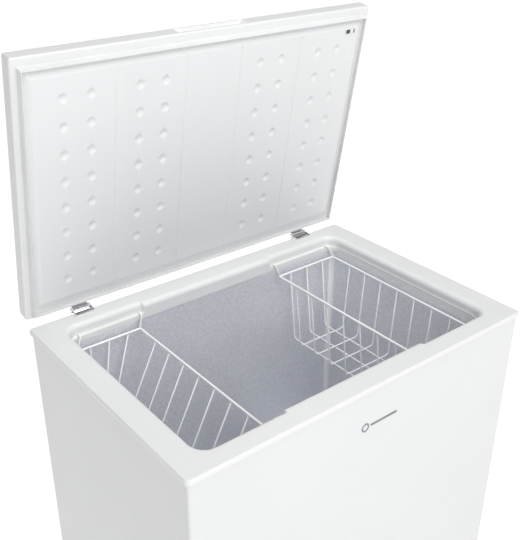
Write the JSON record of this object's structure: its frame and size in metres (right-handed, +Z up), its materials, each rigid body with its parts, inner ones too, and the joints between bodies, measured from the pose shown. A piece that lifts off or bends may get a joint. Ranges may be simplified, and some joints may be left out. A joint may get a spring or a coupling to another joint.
{
  "type": "chest freezer",
  "caption": "Chest freezer with a lifting lid on friction hinges, lift-out wire baskets, a defrost drain and an insulated, metal-lined tank over a compressor bay.",
  "frame": {"origin": "on the floor, under the middle of the whole object's footprint as it stands with the lid open, 17 mm behind the middle of the cabinet", "axes": "+X to the right seen from the front, +Y to the back, +Z up"},
  "size_m": [0.802, 0.6032, 1.3338],
  "materials": {
    "shell_white": "gloss",
    "back_white": "satin",
    "galvanised": "satin",
    "collar_white": "gloss",
    "liner_aluminium": "satin",
    "strip_aluminium": "satin",
    "foam": "matte",
    "copper": "satin",
    "compressor_black": "gloss",
    "dark_rubber": "matte",
    "zinc": "satin",
    "relay_black": "matte",
    "grille_white": "satin",
    "thermostat_grey": "matte",
    "knob_white": "gloss",
    "lamp_green": "gloss",
    "lamp_red": "gloss",
    "drain_grey": "satin",
    "hinge_chrome": "polished",
    "washer_nylon": "matte",
    "badge_grey": "satin",
    "label_grey": "matte",
    "panel_white": "satin",
    "gasket_white": "matte",
    "grip_white": "satin",
    "wire_white": "gloss"
  },
  "bodies": {
    "cabinet": {"outer_shell": "shell_white", "back_panel": "back_white", "base_pan": "galvanised", "collar": "collar_white", "inner_liner": "liner_aluminium", "liner_corner_strips": "strip_aluminium", "cabinet_foam": "foam", "evaporator_coil": "copper", "condenser_coil": "copper", "bay_lining": "galvanised", "compressor_tray": "galvanised", "compressor": "compressor_black", "compressor_grommets": "dark_rubber", "compressor_bolts": "zinc", "start_relay": "relay_black", "filter_drier": "copper", "capillary_tube": "copper", "suction_line": "copper", "discharge_line": "copper", "side_grille": "grille_white", "rear_cover": "galvanised", "rear_cover_screws": "zinc", "cord_gland": "dark_rubber", "control_bezel": "grille_white", "thermostat_body": "thermostat_grey", "power_lamp": "lamp_green", "alarm_lamp": "lamp_red", "drain_tube": "drain_grey", "feet": "dark_rubber", "foot_screws": "zinc", "hinge_brackets": "hinge_chrome", "hinge_bracket_screws": "zinc", "hinge_pins": "hinge_chrome", "hinge_washers": "washer_nylon", "front_badge": "badge_grey"},
    "lid": {"lid_shell": "shell_white", "lid_foam": "foam", "lid_panel": "panel_white", "lid_gasket": "gasket_white", "handle_grip": "grip_white", "lid_label": "label_grey", "hinge_leaves": "hinge_chrome", "hinge_leaf_screws": "zinc"},
    "left_basket": {"basket_left": "wire_white"},
    "right_basket": {"basket_right": "wire_white"},
    "knob": {"thermostat_knob": "knob_white"},
    "inner_plug": {"drain_plug": "drain_grey"},
    "outer_cap": {"drain_cap": "drain_grey"}
  },
  "joints": [
    {"name": "lid_hinge", "type": "hinge", "parent": "cabinet", "child": "lid", "pos_m": [0, 0.256, 0.8], "axis": [-1, 0, 0], "range_deg": [-80.2, 0]},
    {"name": "left_basket_lift", "type": "slide", "parent": "cabinet", "child": "left_basket", "axis": [0, 0, 1], "range_m": [0, 0.26]},
    {"name": "right_basket_lift", "type": "slide", "parent": "cabinet", "child": "right_basket", "axis": [0, 0, 1], "range_m": [0, 0.26]},
    {"name": "thermostat_turn", "type": "hinge", "parent": "cabinet", "child": "knob", "pos_m": [0.286, -0.2837, 0.15], "axis": [0, -1, 0], "range_deg": [0, 270]},
    {"name": "plug_pull", "type": "slide", "parent": "cabinet", "child": "inner_plug", "axis": [0, 0, 1], "range_m": [0, 0.03]},
    {"name": "cap_pull", "type": "slide", "parent": "cabinet", "child": "outer_cap", "axis": [0, -1, 0], "range_m": [0, 0.03]}
  ]
}
